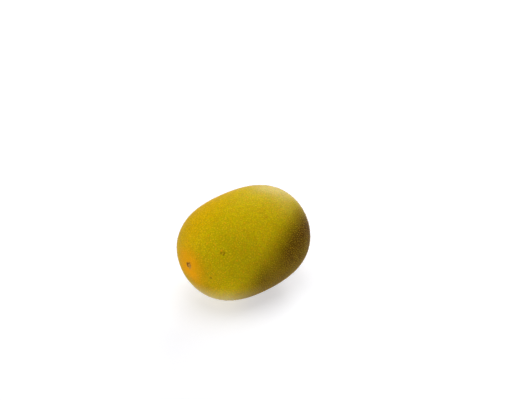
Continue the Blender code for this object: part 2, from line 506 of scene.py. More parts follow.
def dot_growth(material, middle):
    """The tree for the raised dots: flat beads, each of its own size, bigger near the stem."""
    growth = Growth("raised_dots", {
        "Spacing": DOT_SPACING,
        "Radius": DOT_RADIUS,
        "Rise": DOT_RISE,
        "Swell at stem": DOT_SWELL_AT_STEM,
        "Seed": DOT_SEED,
    })
    spot = Spot(growth, growth.position(), middle)
    points = growth.node("GeometryNodeDistributePointsOnFaces", {"distribute_method": "POISSON"}, {
        "Mesh": growth.ground(),
        "Distance Min": growth.size("Spacing"),
        "Density Max": DOT_DENSITY,
        "Density Factor": open_skin(spot),
        "Seed": growth.size("Seed"),
    })
    turn = Wire(growth, points.socket.node.outputs["Rotation"])
    bead = growth.node("GeometryNodeMeshIcoSphere", None, {"Radius": 1.0, "Subdivisions": 1})
    swell = near_stem(spot) * growth.size("Swell at stem") + 1.0
    radius = growth.size("Radius") * growth.random(*DOT_SIZES, DOT_SEED + 1) * swell
    dots = growth.node("GeometryNodeInstanceOnPoints", None, {
        "Points": points,
        "Instance": bead,
        "Rotation": turn,
        "Scale": growth.vector(radius, radius, radius * growth.size("Rise")),
    })
    growth.close(dots, material)
    return growth


def hair_growth(name, sizes, material, middle, density_of, lean_of, wildness, sides, segments):
    """The tree for short hairs: tapered spikes, each leaning its own way off the skin."""
    growth = Growth(name, sizes)
    spot = Spot(growth, growth.position(), middle)
    points = growth.node("GeometryNodeDistributePointsOnFaces", {"distribute_method": "RANDOM"}, {
        "Mesh": growth.ground(),
        "Density": density_of(spot) * open_skin(spot) * growth.size("Density"),
        "Seed": growth.size("Seed"),
    })
    normal = Wire(growth, points.socket.node.outputs["Normal"])
    spike = growth.node("GeometryNodeMeshCone", {"fill_type": "NGON"}, {
        "Vertices": sides,
        "Side Segments": segments,
        "Radius Top": 0.0,
        "Radius Bottom": growth.size("Thickness"),
        "Depth": growth.size("Length"),
    })
    share = growth.parts(growth.position())[2] / growth.size("Length")
    bend = share * share * growth.size("Length") * growth.size("Bend")
    bent = growth.node("GeometryNodeSetPosition", None, {
        "Geometry": spike,
        "Offset": growth.vector(bend, 0.0, 0.0),
    })
    wild = growth.random_vector(wildness, sizes["Seed"] + 1)
    direction = growth.vectors("ADD", normal, growth.vectors("ADD", lean_of(growth, spot), wild))
    turn = growth.node("FunctionNodeAlignRotationToVector", {"axis": "Z"}, {"Vector": direction})
    scale = growth.random(*HAIR_SIZES, sizes["Seed"] + 2)
    hairs = growth.node("GeometryNodeInstanceOnPoints", None, {
        "Points": points,
        "Instance": bent,
        "Rotation": turn,
        "Scale": growth.vector(scale, scale, scale),
    })
    growth.close(hairs, material)
    return growth


def make_dots(skin, middle, material):
    return dot_growth(material, middle).grow("skin_dots", skin.data)


def make_down(skin, middle, material):
    """Short down, which leans towards the stem end all over the skin."""
    sizes = {
        "Density": DOWN_DENSITY,
        "Length": DOWN_LENGTH,
        "Thickness": DOWN_THICKNESS,
        "Bend": 0.0,
        "Seed": DOWN_SEED,
    }

    def density_of(spot):
        return 1.0

    def lean_of(growth, spot):
        return DOWN_LEAN

    growth = hair_growth("down", sizes, material, middle, density_of, lean_of,
                         wildness=DOWN_WILDNESS, sides=3, segments=1)
    return growth.grow("down", skin.data)


def make_bristles(skin, middle, material):
    """Thicker bristles that lie outwards round the corky disc, and thin out away from it."""
    sizes = {
        "Density": BRISTLE_DENSITY,
        "Length": BRISTLE_LENGTH,
        "Thickness": BRISTLE_THICKNESS,
        "Bend": BRISTLE_BEND,
        "Seed": BRISTLE_SEED,
    }

    def lean_of(growth, spot):
        outwards = growth.vectors("NORMALIZE", growth.vector(0.0, spot.side, spot.up))
        return growth.vectors("MULTIPLY", outwards, (BRISTLE_LEAN,) * 3)

    growth = hair_growth("bristles", sizes, material, middle, near_stem, lean_of,
                         wildness=BRISTLE_WILDNESS, sides=5, segments=2)
    return growth.grow("stem_bristles", skin.data)


# The corky disc where the stalk came away

DISC_RINGS = 150
DISC_AROUND = 300
DISC_SKIRT = 1.16
SKIRT_START = 1.02
SKIRT_DROP = 0.0010
INSIDE_RIM = (0.96, 0.78)
RIM_FLAKINESS = 0.35
CRACK_SEED = 9
CRACK_COUNT = 6
CRACK_JITTER = 0.30
CRACK_STARTS = (0.12, 0.38)
CRACK_ENDS = (0.50, 0.76)
CRACK_WIDTHS = (0.5, 1.4)
CRACK_WIDTH = 0.00026
CRACK_DEPTH = 0.00065
CRACK_WANDER = 0.00060
CRACK_TAPER = 0.08
GAPE_LEVELS = (-0.45, 0.45)
GAPE_WIDTHS = (0.3, 1.5)
GAPE_DEPTHS = (0.35, 1.0)
HOLE_DEPTH = 0.00075
HOLE_RING = (0.50, 0.17)
HOLE_RING_EDGE = (0.15, 0.50)
HOLE_RING_PULL = 0.55
HOLE_LEVELS = (0.72, 1.02)
CLEFT_DEPTH = 0.00030
CLEFT_LEVEL = (0.05, 0.075)
CLEFT_PATCH_LEVELS = (-0.35, 0.25)
CLEFT_OUTER_EDGE = (0.92, 0.76)
CLEFT_INNER_EDGE = (0.05, 0.25)
MOAT_PLACE = 0.78
MOAT_WANDER = 0.03
MOAT_BREADTH = 0.035
MOAT_LEVELS = (-0.9, 0.5)
MOAT_DEPTH = 0.00024
SLOT_RAGGEDNESS = 0.00022
SLOT_WALL = 0.42
FLAP_RISE = 0.00055
FLAP_EVEN = 0.75
FLAP_GRAIN = 0.4
FLAKE_RELIEF = 0.00042
GRAIN_RELIEF = 0.00022
GRAIN_DEPTHS = (0.5, 1.0)

# Torn flaps along the slot: place and breadth in its widths, shift along it, reach in its lengths
FLAPS = ((1.05, 0.45, 0.0003, 0.55), (-1.00, 0.38, -0.0005, 0.45))

# Noise patterns across the disc, each with its layer, its scale and its octaves
CRACK_SIDEWAYS = (2.0, 700.0, 3)
CRACK_UPWARDS = (5.0, 700.0, 3)
CRACK_GAPE = (8.0, 500.0, 3)
HOLE_PATTERN = (11.0, 620.0, 4)
CLEFT_PATTERN = (14.0, 560.0, 4)
CLEFT_PATCHES = (17.0, 280.0, 2)
SLOT_SIDES = (20.0, 900.0, 3)
GRAIN_PATTERN = (23.0, 1300.0, 3)
FLAKE_PATTERN = (26.0, 430.0, 4)
PATTERN_SOFTNESS = 0.9
PATTERN_STEP = 2.2

# How dark a mark each hollow leaves for the colour, and how pale a one a torn flake
CRACK_MARK = 0.80
HOLE_MARK = 0.72
CLEFT_MARK = 0.55
MOAT_MARK = 0.38
SLOT_MARK_LEVELS = (0.25, 0.70)
FLAKE_MARK = 0.8
FLAKE_MARK_LEVELS = (0.45, 1.00)
CLEAR_HOLLOW = 0.2
MARK_LAYER = "groove"


def polar_mesh(name, rings, around, point_at):
    """A closed-centre disc of rings. point_at gives a point and its mark for share and angle."""
    mesh = bpy.data.meshes.new(name)
    bm = bmesh.new()
    marks = bm.verts.layers.float.new(MARK_LAYER)
    rows = []
    centre, mark = point_at(0.0, 0.0)
    middle = bm.verts.new(centre)
    middle[marks] = mark
    for ring in range(1, rings + 1):
        row = []
        for step in range(around):
            point, mark = point_at(ring / rings, 2.0 * math.pi * step / around)
            vertex = bm.verts.new(point)
            vertex[marks] = mark
            row.append(vertex)
        rows.append(row)
    for step in range(around):
        after = (step + 1) % around
        bm.faces.new((middle, rows[0][step], rows[0][after]))
        for inner, outer in zip(rows, rows[1:]):
            bm.faces.new((inner[step], outer[step], outer[after], inner[after]))
    bm.faces.new(rows[-1][::-1])
    bmesh.ops.recalc_face_normals(bm, faces=bm.faces[:])
    for face in bm.faces:
        face.smooth = True
    bm.to_mesh(mesh)
    bm.free()
    return mesh


def rough_noise(y, z, layer, scale, octaves):
    """Layered noise across the disc, about -1 to 1. Each layer is a pattern of its own."""
    place = Vector((y * scale, z * scale, layer))
    return noise.fractal(place, PATTERN_SOFTNESS, PATTERN_STEP, octaves)


class StemDisc:
    """The relief of the corky disc, as its height over the basin and a mark for its colour.

    The mark is above 0 in cracks and holes, up to 1, and below 0 on pale torn flakes.
    """

    def __init__(self):
        draw = random.Random(CRACK_SEED)
        self.cracks = []
        for angle in turns_apart(CRACK_COUNT, CRACK_JITTER, CRACK_SEED):
            start = draw.uniform(*CRACK_STARTS)
            end = draw.uniform(*CRACK_ENDS)
            self.cracks.append((angle, start, end, draw.uniform(*CRACK_WIDTHS)))

    def crack(self, y, z, share):
        """Ragged cracks that run outwards, here wider and there closed."""
        y += CRACK_WANDER * rough_noise(y, z, *CRACK_SIDEWAYS)
        z += CRACK_WANDER * rough_noise(y, z, *CRACK_UPWARDS)
        distance = math.hypot(y, z)
        angle = math.atan2(z, y)
        gape = rise(rough_noise(y, z, *CRACK_GAPE), *GAPE_LEVELS)
        depth = 0.0
        for middle, start, end, width in self.cracks:
            sideways = distance * angle_between(angle, middle)
            reach = rise(share, start - CRACK_TAPER, start + CRACK_TAPER)
            reach *= rise(share, end + CRACK_TAPER, end - CRACK_TAPER)
            breadth = CRACK_WIDTH * width * between(gape, *GAPE_WIDTHS)
            depth = max(depth, reach * hump(sideways, 0.0, breadth))
        return depth * between(gape, *GAPE_DEPTHS)

    def hole(self, y, z, share):
        """Ragged holes where the cork fell away, in a broken ring half way out."""
        ring = hump(share, *HOLE_RING)
        level = rough_noise(y, z, *HOLE_PATTERN) + HOLE_RING_PULL * ring
        return rise(level, *HOLE_LEVELS) * rise(ring, *HOLE_RING_EDGE)

    def cleft(self, y, z, share):
        """Fine wandering clefts between the flakes of cork inside the rim."""
        level = rough_noise(y, z, *CLEFT_PATTERN)
        patch = rise(rough_noise(y, z, *CLEFT_PATCHES), *CLEFT_PATCH_LEVELS)
        within = rise(share, *CLEFT_OUTER_EDGE) * rise(share, *CLEFT_INNER_EDGE)
        return hump(level, *CLEFT_LEVEL) * within * patch

    def moat(self, share, grain, flakes):
        """A broken groove just inside the rim."""
        depth = hump(share, MOAT_PLACE + MOAT_WANDER * flakes, MOAT_BREADTH)
        return depth * rise(grain + flakes, *MOAT_LEVELS)

    def slot_place(self, y, z):
        """How far along and across the slot a place is. The slot's sides are ragged."""
        along = y * math.cos(SLOT_TURN) + z * math.sin(SLOT_TURN)
        across = z * math.cos(SLOT_TURN) - y * math.sin(SLOT_TURN) - SLOT_OFFSET
        return along, across + SLOT_RAGGEDNESS * rough_noise(y, z, *SLOT_SIDES)

    def slot(self, along, across):
        return hump(along, 0.0, SLOT_LENGTH / 2) * hump(across, 0.0, SLOT_WIDTH * SLOT_WALL)

    def flaps(self, along, across, grain):
        """Pale torn flaps that stand along the slot."""
        heights = []
        for place, breadth, shift, reach in FLAPS:
            over = hump(across, SLOT_WIDTH * place, SLOT_WIDTH * breadth)
            heights.append(over * hump(along, shift, SLOT_LENGTH * reach))
        return max(heights) * (FLAP_EVEN + FLAP_GRAIN * grain)

    def at(self, distance, angle):
        """The height and the mark at a distance from the disc's middle and an angle."""
        wave = DISC_WAVE_DEPTH * math.cos(DISC_WAVES * angle)
        oval = DISC_OVALNESS * math.cos(2 * angle + DISC_OVAL_TURN)
        share = distance / (DISC_RADIUS * (1.0 + oval + wave))
        y = distance * math.cos(angle)
        z = distance * math.sin(angle)
        grain = rough_noise(y, z, *GRAIN_PATTERN)
        flakes = rough_noise(y, z, *FLAKE_PATTERN)
        on_disc = rise(share, *DISC_EDGE)
        inside = rise(share, *INSIDE_RIM)
        uneven = RIM_UNEVENNESS * math.cos(RIM_WAVES * angle + RIM_TURN) + RIM_FLAKINESS * flakes
        crack = self.crack(y, z, share)
        hole = self.hole(y, z, share)
        cleft = self.cleft(y, z, share)
        moat = self.moat(share, grain, flakes)
        along, across = self.slot_place(y, z)
        slot = self.slot(along, across)
        flap = self.flaps(along, across, grain)
        cork = FLAKE_RELIEF * abs(flakes) * inside
        cork += GRAIN_RELIEF * grain * between(inside, *GRAIN_DEPTHS)
        height = (DISC_RISE + cork) * on_disc
        height += RIM_RISE * (1.0 + uneven) * hump(share, RIM_PLACE, RIM_BREADTH)
        height += FLAP_RISE * flap - HOLLOW_DEPTH * rise(share, *HOLLOW_EDGE)
        height -= CRACK_DEPTH * crack + HOLE_DEPTH * hole + CLEFT_DEPTH * cleft + MOAT_DEPTH * moat
        height -= SLOT_DEPTH * slot + SKIRT_DROP * rise(share, SKIRT_START, DISC_SKIRT)
        hollow = max(
            crack * CRACK_MARK,
            hole * HOLE_MARK,
            cleft * CLEFT_MARK,
            moat * MOAT_MARK,
            rise(slot, *SLOT_MARK_LEVELS),
        )
        pale = max(flap, rise(flakes, *FLAKE_MARK_LEVELS) * inside * FLAKE_MARK)
        return height, hollow if hollow > CLEAR_HOLLOW else hollow - pale


def make_stem_disc(ground, material):
    disc = StemDisc()
    reach = DISC_RADIUS * DISC_SKIRT * (1.0 + DISC_OVALNESS + DISC_WAVE_DEPTH)

    def point_at(share, angle):
        distance = share * reach
        height, mark = disc.at(distance, angle)
        foot = ground(distance, angle)
        return Vector((foot.x + height, foot.y, foot.z)), mark

    mesh = polar_mesh("stem_disc", DISC_RINGS, DISC_AROUND, point_at)
    mesh.materials.append(material)
    return add_object("stem_disc", mesh)


def skin_finder(skin):
    """A search tree for the skin's surface."""
    bm = bmesh.new()
    bm.from_mesh(skin.data)
    search = BVHTree.FromBMesh(bm)
    bm.free()
    return search


def ground_finder(search, middle, end, centre=(0.0, 0.0)):
    """A function that drops onto the skin from beyond one end, at a distance and an angle."""
    start = middle + Vector((end * FRUIT_LENGTH, *centre))

    def ground(distance, angle):
        place = start + Vector((0.0, distance * math.cos(angle), distance * math.sin(angle)))
        return search.ray_cast(place, Vector((-end, 0.0, 0.0)))[0]

    return ground


# Dried sepals on the rim of the corky disc

SEPAL_STEPS = 14
SEPAL_LANES = 6
SEPAL_WIDTH = 0.0019
LONG_SEPAL_SLIMNESS = 0.62
SEPAL_TAPER = 0.72
SEPAL_TAPER_POWER = 1.4
SEPAL_THICKNESS = 0.00022
SEPAL_CUP = 0.00040
SEPAL_CUP_LOSS = 0.3
SEPAL_RIPPLE = 0.00025
SEPAL_RIPPLES = (4.0, 1.6)
SEPAL_TEAR = 0.0009
SEPAL_TORN_PART = (0.55, 1.0)
SEPAL_SHAPE_SEED = 50


def sepal_mesh(name, length, curl, width, seed):
    """A dried sepal along +Z: a thin cupped strip that leans to +X, with a ragged tip."""
    draw = random.Random(seed)
    ragged = [draw.uniform(0.0, 1.0) for _ in range(SEPAL_LANES + 1)]
    bm = bmesh.new()
    rows = []
    centre = Vector((0.0, 0.0, -SEPAL_ROOT_DEPTH))
    stride = (length + SEPAL_ROOT_DEPTH) / SEPAL_STEPS
    for step in range(SEPAL_STEPS + 1):
        share = step / SEPAL_STEPS
        lean = SEPAL_LEAN + curl * share * share
        forward = Vector((math.sin(lean), 0.0, math.cos(lean)))
        breadth = width * (1.0 - SEPAL_TAPER * share ** SEPAL_TAPER_POWER)
        row = []
        for lane in range(SEPAL_LANES + 1):
            side = 2.0 * lane / SEPAL_LANES - 1.0
            wrinkle = Vector((share * SEPAL_RIPPLES[0], side * SEPAL_RIPPLES[1], seed))
            lift = SEPAL_CUP * side * side * (1.0 - SEPAL_CUP_LOSS * share)
            lift += SEPAL_RIPPLE * noise.noise(wrinkle)
            offset = Vector((-math.cos(lean) * lift, side * breadth / 2, math.sin(lean) * lift))
            tear = SEPAL_TEAR * ragged[lane] * rise(share, *SEPAL_TORN_PART)
            row.append(bm.verts.new(centre + offset - forward * tear))
        rows.append(row)
        centre = centre + forward * stride
    for lower, upper in zip(rows, rows[1:]):
        for lane in range(SEPAL_LANES):
            bm.faces.new((lower[lane], lower[lane + 1], upper[lane + 1], upper[lane]))
    mesh = bpy.data.meshes.new(name)
    bm.to_mesh(mesh)
    bm.free()
    return mesh


def make_sepal(number, angle, length, curl, ground, material):
    width = SEPAL_WIDTH * (LONG_SEPAL_SLIMNESS if number == LONG_SEPAL else 1.0)
    name = f"sepal_{number + 1}"
    mesh = sepal_mesh(name, length, curl, width, number + SEPAL_SHAPE_SEED)
    foot = ground(SEPAL_RING_RADIUS, angle)
    cork = StemDisc().at(SEPAL_RING_RADIUS, angle)[0]
    stand = Matrix(((0, 0, 1, 0), (1, 0, 0, 0), (0, 1, 0, 0), (0, 0, 0, 1)))
    place = Matrix.Translation((foot.x + cork - SEPAL_SINK, foot.y, foot.z))
    mesh.transform(place @ Matrix.Rotation(angle, 4, "X") @ stand)
    mesh.materials.append(material)
    sepal = add_object(name, mesh)
    wall = sepal.modifiers.new("wall", "SOLIDIFY")
    wall.thickness = SEPAL_THICKNESS
    wall.offset = 0.0
    round_off = sepal.modifiers.new("round_off", "SUBSURF")
    round_off.levels = 1
    round_off.render_levels = 1
    with_modifiers_applied(sepal)
    sepal.data.shade_smooth()
    return sepal


def make_sepals(ground, material):
    """Sepals stand round the corky disc as on the solid, and one of them is long and hooked."""
    draw = random.Random(SEPAL_SEED)
    sepals = []
    for number, angle in enumerate(turns_apart(SEPAL_COUNT, SEPAL_JITTER, SEPAL_SEED)):
        length = draw.uniform(*STUB_LENGTHS)
        curl = draw.uniform(*STUB_CURLS)
        if number == LONG_SEPAL:
            length = LONG_SEPAL_LENGTH
            curl = LONG_SEPAL_CURL
        sepals.append(make_sepal(number, angle, length, curl, ground, material))
    return sepals


# The small scar at the blossom end

SCAR_RINGS = 44
SCAR_AROUND = 96
SCAR_SKIRT = 1.9
SCAR_SKIRT_START = 1.3
SCAR_SKIRT_DROP = 0.00040
SCAR_LIFT = 0.00005
SCAR_RIM_RISE = 0.00034
SCAR_RIM_PLACE = 0.85
SCAR_RIM_BREADTH = 0.34
SCAR_PIT_DEPTH = 0.00030
SCAR_PIT_BREADTH = 0.5
SCAR_WAVES = 3
SCAR_WAVE = 0.10
SCAR_TEAR = 0.30
SCAR_TEAR_SCALE = 1.6
SCAR_TEAR_LAYER = (3.0, 1.0, 5.0)
SCAR_CRUMB_SCALE = 2400.0
SCAR_CRUMB_RISE = 0.00010
SCAR_LUMP_SCALE = 1500.0
SCAR_LUMP_LAYER = (7.0, 2.0, 0.0)
SCAR_LUMP_RISE = 0.00016
SCAR_ROUGH_EDGE = (1.6, 1.0)
SCAR_DARK_TURN = 0.6
SCAR_EVEN = 0.75
SCAR_DARK_SIDE = 0.45
SCAR_UNEVENNESS = 0.6
SCAR_UNEVEN_SCALE = 2.4
SCAR_UNEVEN_LAYER = (9.0, 4.0, 1.0)
SCAR_THINNEST = 0.1
CHAR_ON_RIM = 0.30
CHAR_BY_HEIGHT = 0.75
CHAR_IN_CRUMBS = 0.45
CHAR_OFF_LUMPS = 0.30


def scar_relief(distance, angle):
    """The height of the scar over the skin, and how charred it is."""
    turn = Vector((math.cos(angle), math.sin(angle), 0.0))
    place = turn * distance
    tear = noise.noise(turn * SCAR_TEAR_SCALE + Vector(SCAR_TEAR_LAYER))
    torn = 1.0 + SCAR_WAVE * math.cos(SCAR_WAVES * angle) + SCAR_TEAR * tear
    share = distance / (SCAR_RADIUS * torn)
    crumbs = noise.fractal(place * SCAR_CRUMB_SCALE, 1.0, 2.0, 3)
    lumps = noise.noise(place * SCAR_LUMP_SCALE + Vector(SCAR_LUMP_LAYER))
    uneven = SCAR_EVEN + SCAR_DARK_SIDE * math.cos(angle - SCAR_DARK_TURN)
    uneven += SCAR_UNEVENNESS * noise.noise(turn * SCAR_UNEVEN_SCALE + Vector(SCAR_UNEVEN_LAYER))
    rim = hump(share, SCAR_RIM_PLACE, SCAR_RIM_BREADTH)
    rough = SCAR_CRUMB_RISE * crumbs + SCAR_LUMP_RISE * lumps
    height = SCAR_LIFT + SCAR_RIM_RISE * max(uneven, SCAR_THINNEST) * rim
    height += rough * rise(share, *SCAR_ROUGH_EDGE)
    height -= SCAR_PIT_DEPTH * hump(share, 0.0, SCAR_PIT_BREADTH)
    height -= SCAR_SKIRT_DROP * rise(share, SCAR_SKIRT_START, SCAR_SKIRT)
    char = rim * (CHAR_ON_RIM + CHAR_BY_HEIGHT * uneven + CHAR_IN_CRUMBS * crumbs)
    char -= CHAR_OFF_LUMPS * lumps
    return height, min(max(char, 0.0), 1.0)


def make_blossom_scar(ground, material):
    reach = SCAR_RADIUS * SCAR_SKIRT

    def point_at(share, angle):
        height, char = scar_relief(share * reach, angle)
        foot = ground(share * reach, angle)
        return Vector((foot.x - height, foot.y, foot.z)), char

    mesh = polar_mesh("blossom_scar", SCAR_RINGS, SCAR_AROUND, point_at)
    mesh.materials.append(material)
    return add_object("blossom_scar", mesh)


# Marks on the skin, each with its degrees off the blossom end, its degrees round, and its radius

WART = (32, 141, 0.00050)
WART_SMUDGES = ((31, 144, 0.00062), (33, 146, 0.00072), (32, 148, 0.00056))
WART_LIGHT = (32, 146, 0.00024)
DARK_SPECKS = ((19, -164, 0.00058), (9, 119, 0.00030), (62, 151, 0.00028), (65, 138, 0.00026))
FAINT_MARKS = ((84, 129, 0.0010), (88, 130, 0.0008))
ORANGE_SPECKS = (
    (31, 108, 0.00038),
    (30, 129, 0.00034),
    (41, 162, 0.00038),
    (74, 138, 0.00032),
    (44, 130, 0.00032),
    (68, 172, 0.00034),
)
MARK_FADE = (1.3, 0.5)
WART_RINGS = 8
WART_AROUND = 18
WART_RISE = 0.75
WART_SLOPE = (1.0, 0.1)
WART_SINK = 0.25
WART_ROUGHNESS = 0.15
WART_LUMP_SCALE = 1.5
WART_LUMP_STEPS = 3.0


class Marks:
    """Where each mark lies on the skin, as a point and the way the skin faces there."""

    def __init__(self, search, middle):
        self.search = search
        self.middle = middle

    def at(self, mark):
        off_end = math.radians(mark[0])
        angle = math.radians(mark[1])
        across = math.sin(off_end)
        outwards = Vector((-math.cos(off_end), across * math.cos(angle), across * math.sin(angle)))
        return self.search.ray_cast(self.middle, outwards)[:2]

    def near(self, tree, spot, mark, spread=1.0):
        """1 at a mark and 0 beyond its radius."""
        point = self.at(mark)[0] - self.middle
        gap = tree.vectors("DISTANCE", spot.place, tuple(point), output=1)
        return gap.rise(mark[2] * spread * MARK_FADE[0], mark[2] * spread * MARK_FADE[1])


def make_wart(marks, material):
    """The one raised wart on the side that the photograph shows."""
    radius = WART[2]
    point, normal = marks.at(WART)
    turn = normal.to_track_quat("Z", "Y").to_matrix().to_4x4()

    def point_at(share, around):
        x = math.cos(around)
        y = math.sin(around)
        lump = noise.noise(Vector((x, y, share * WART_LUMP_STEPS)) * WART_LUMP_SCALE)
        height = WART_RISE * rise(share, *WART_SLOPE) - WART_SINK + WART_ROUGHNESS * lump
        return Vector((share * x, share * y, height)) * radius, 0.0

    mesh = polar_mesh("wart", WART_RINGS, WART_AROUND, point_at)
    mesh.transform(Matrix.Translation(point) @ turn)
    mesh.materials.append(material)
    return add_object("wart", mesh)


# Materials: helpers, and what several of them share

TONE_LEVELS = (0.35, 0.65)
WARM_SPECULAR = (1.0, 0.80, 0.02, 1.0)
DOT_SPECULAR = (1.0, 0.80, 0.05, 1.0)


def principled(name, constants):
    """A material, its tree, and its Principled shader with what is the same all over set on it."""
    material = bpy.data.materials.new(name)
    material.use_nodes = True
    tree = Tree(material.node_tree)
    shader = material.node_tree.nodes["Principled BSDF"]
    for socket, value in constants.items():
        shader.inputs[socket].default_value = value
    return material, tree, shader


def wire_up(tree, shader, sockets):
    for name, wire in sockets.items():
        tree.node_tree.links.new(wire.socket, shader.inputs[name])


def bumped(tree, height, distance, strength=1.0):
    sockets = {"Height": height, "Distance": distance, "Strength": strength}
    return tree.node("ShaderNodeBump", None, sockets)


def object_place(tree):
    return tree.node("ShaderNodeTexCoord", None, None, "Object")


def mark_on_mesh(tree):
    """The mark that polar_mesh left on each vertex."""
    return tree.node("ShaderNodeAttribute", {"attribute_name": MARK_LAYER}, None, "Fac")


def toned(tree, pattern, tones):
    return tree.mix(pattern.rise(*TONE_LEVELS), *tones)


# The skin's colours

GREEN_GOLD = (0.70, 0.54, 0.0010, 1.0)
OLIVE = (0.48, 0.40, 0.0010, 1.0)
GOLD = (0.83, 0.49, 0.0010, 1.0)
FLUSH = (0.93, 0.385, 0.0008, 1.0)
BRONZE = (0.50, 0.28, 0.0010, 1.0)
# Duller flank: partly its own browner colour, partly painted shade
CHEEK_AND_SHADE_TINT = (0.165, 0.092, 0.3, 1.0)
# Painted reflection of the pale floor on the underside
PAINTED_FLOOR_REFLECTION = (0.66, 0.59, 0.32, 1.0)
RECESS = (0.29, 0.19, 0.001, 1.0)
OCHRE = (0.68, 0.36, 0.001, 1.0)
SMUDGE = (0.24, 0.125, 0.001, 1.0)
GOLD_DOT = (0.87, 0.60, 0.016, 1.0)
ORANGE_DOT = (0.80, 0.39, 0.008, 1.0)
BROWN_DOT = (0.13, 0.060, 0.003, 1.0)
FAINT_BROWN = (0.48, 0.21, 0.003, 1.0)
HALO = (0.20, 0.108, 0.034, 1.0)

# Where each colour lies on the skin
OLIVE_PLACE = (-0.026, -0.015, 0.008)
OLIVE_EDGE = (0.019, 0.005, 0.50)
GOLD_LEAN = (-0.3, 0.8, 0.3)
GOLD_EDGE = (0.006, 0.020)
# Where the duller flank with its painted shade lies, and how it fades towards the stem end
CHEEK_AND_SHADE_LEAN = (0.5, -1.0, -0.6)
CHEEK_AND_SHADE_EDGE = (0.0085, 0.0280)
CHEEK_AND_SHADE_END = (0.036, 0.024)
# Where the painted floor reflection and the coat underneath begin
UNDERSIDE_REFLECTION_EDGE = (-0.0080, -0.0215)
FLUSH_REACH = 0.0122
BRONZE_REACH = 0.017
SCAR_FADE = (1.2, 0.42)
SCAR_RAGGEDNESS = 0.4
BLOSSOM_END = (-0.014, -0.026)
DISC_FLUSH_EDGE = (0.015, 0.007)
DISC_FLUSH_END = (0.018, 0.028)
HALO_EDGE = (DISC_RADIUS * 1.40, DISC_RADIUS * 1.12)
HALO_END = (0.0, 0.01)

# How far to +Y and +Z the scar is of the middle of the orange and of the bronze patch beside it
FLUSH_SHIFT = (-0.0022, 0.0012)
BRONZE_SHIFT = (0.0010, 0.0050)

# How much there is of a colour, from where a pattern is 0 to where it is 1
OLIVE_IN_CLOUDS = 0.22
GOLD_SHARES = (0.95, 0.75)
BRONZE_SHARES = (0.50, 0.80)
DISC_FLUSH_SHARES = (0.10, 0.70)
FLUSH_SHARES = (0.60, 0.90)
# Shares of the duller flank's colour and painted shade
CHEEK_AND_SHADE_AT_ENDS = (0.4, 1.0)
CHEEK_AND_SHADE_SHARES = (0.8, 1.0)
# Shares of the painted floor reflection underneath, less on the shaded flank
PAINTED_REFLECTION_OFF_CHEEK_AND_SHADE = (1.0, 0.1)
PAINTED_REFLECTION_SHARES = (0.34, 0.54)
HALO_SHARES = (0.65, 0.95)
SMUDGE_SHARE = 0.7
SPECK_SHARE = 0.6

# Patterns in the skin: the scale, detail and roughness of each noise, and the levels it rises at
CLOUD_NOISE = (45.0, 3.0, 0.55)
CLOUD_LEVELS = (0.36, 0.64)
PATCH_NOISE = (170.0, 3.0, 0.60)
PATCH_LEVELS = (0.30, 0.62)
WARM_NOISE = (430.0, 2.0, 0.60)
WARM_LEVELS = (0.42, 0.64, 0.40)
MOTTLE_NOISE = (1100.0, 3.0, 0.65)
MOTTLE_LEVELS = (0.50, 0.78, 0.46)
FAINT_LEVELS = (0.44, 0.60, 0.60)

# Cells in the skin: the net between them, the flat dots in them, and how few of them are coloured
CELL_SCALE = 700.0
CELL_RANDOMNESS = 0.85
CELL_NET = (0.50, 0.14)
CELL_NET_SHARE = 0.36
GOLD_CELL = (0.36, 0.16)
GOLD_CELL_SHARES = (0.10, 0.55)
ORANGE_CELL = (0.38, 0.22, 0.6)
ORANGE_PICK = (0.86, 0.90)
BROWN_CELL = (0.28, 0.14, 0.5)
BROWN_PICK = (0.975, 0.985)

# The skin's gloss and grain
GLOSS_NOISE = (500.0, 2.0, 0.5)
LEATHER_NOISE = (1500.0, 3.0, 0.6)
PORE_NOISE = (5200.0, 2.0, 0.5)
PORE_SHARE = 0.35
GRAIN_BUMP = (0.00016, 0.8)
SKIN_ROUGHNESS = (0.36, 0.50)
SHEEN_HEIGHT = (0.004, 0.018, 0.46)
SHEEN_PLACE = (0.000, 0.016)
# Less coat on the duller flank with its painted shade
SHEEN_OFF_CHEEK_AND_SHADE = (1.0, 0.3)


def cheek_and_shade_share(tree, spot):
    """How much of the duller flank's colour and painted shade the skin has. It fades towards the stem
    end.
    """
    lean = tree.vectors("DOT_PRODUCT", spot.place, CHEEK_AND_SHADE_LEAN, output=1)
    return lean.rise(*CHEEK_AND_SHADE_EDGE) * spot.x.rise(*CHEEK_AND_SHADE_END).between(*CHEEK_AND_SHADE_AT_ENDS)


def beside_scar(spot, shift, reach, ragged):
    """1 round a place beside the blossom scar, and 0 beyond its reach, with a ragged edge."""
    side = spot.side + shift[0] - SCAR_PLACE[0]
    up = spot.up + shift[1] - SCAR_PLACE[1]
    gap = length_of(side, up) + ragged * (reach * SCAR_RAGGEDNESS)
    return gap.rise(reach * SCAR_FADE[0], reach * SCAR_FADE[1]) * spot.x.rise(*BLOSSOM_END)


def ground_colour(tree, spot, clouds, patchy):
    """Green gold with an olive and a gold side, bronze beside the scar and orange by the disc."""
    olive_side = tree.vectors("DISTANCE", spot.place, OLIVE_PLACE, output=1).rise(*OLIVE_EDGE)
    gold_side = tree.vectors("DOT_PRODUCT", spot.place, GOLD_LEAN, output=1).rise(*GOLD_EDGE)
    bronze_side = beside_scar(spot, BRONZE_SHIFT, BRONZE_REACH, clouds)
    near_disc = spot.distance.rise(*DISC_FLUSH_EDGE) * spot.x.rise(*DISC_FLUSH_END)
    return tree.layered(
        GREEN_GOLD,
        (olive_side + clouds * OLIVE_IN_CLOUDS, OLIVE),
        (gold_side * clouds.between(*GOLD_SHARES), GOLD),
        (bronze_side * patchy.between(*BRONZE_SHARES), BRONZE),
        (near_disc * patchy.between(*DISC_FLUSH_SHARES), FLUSH),
    )


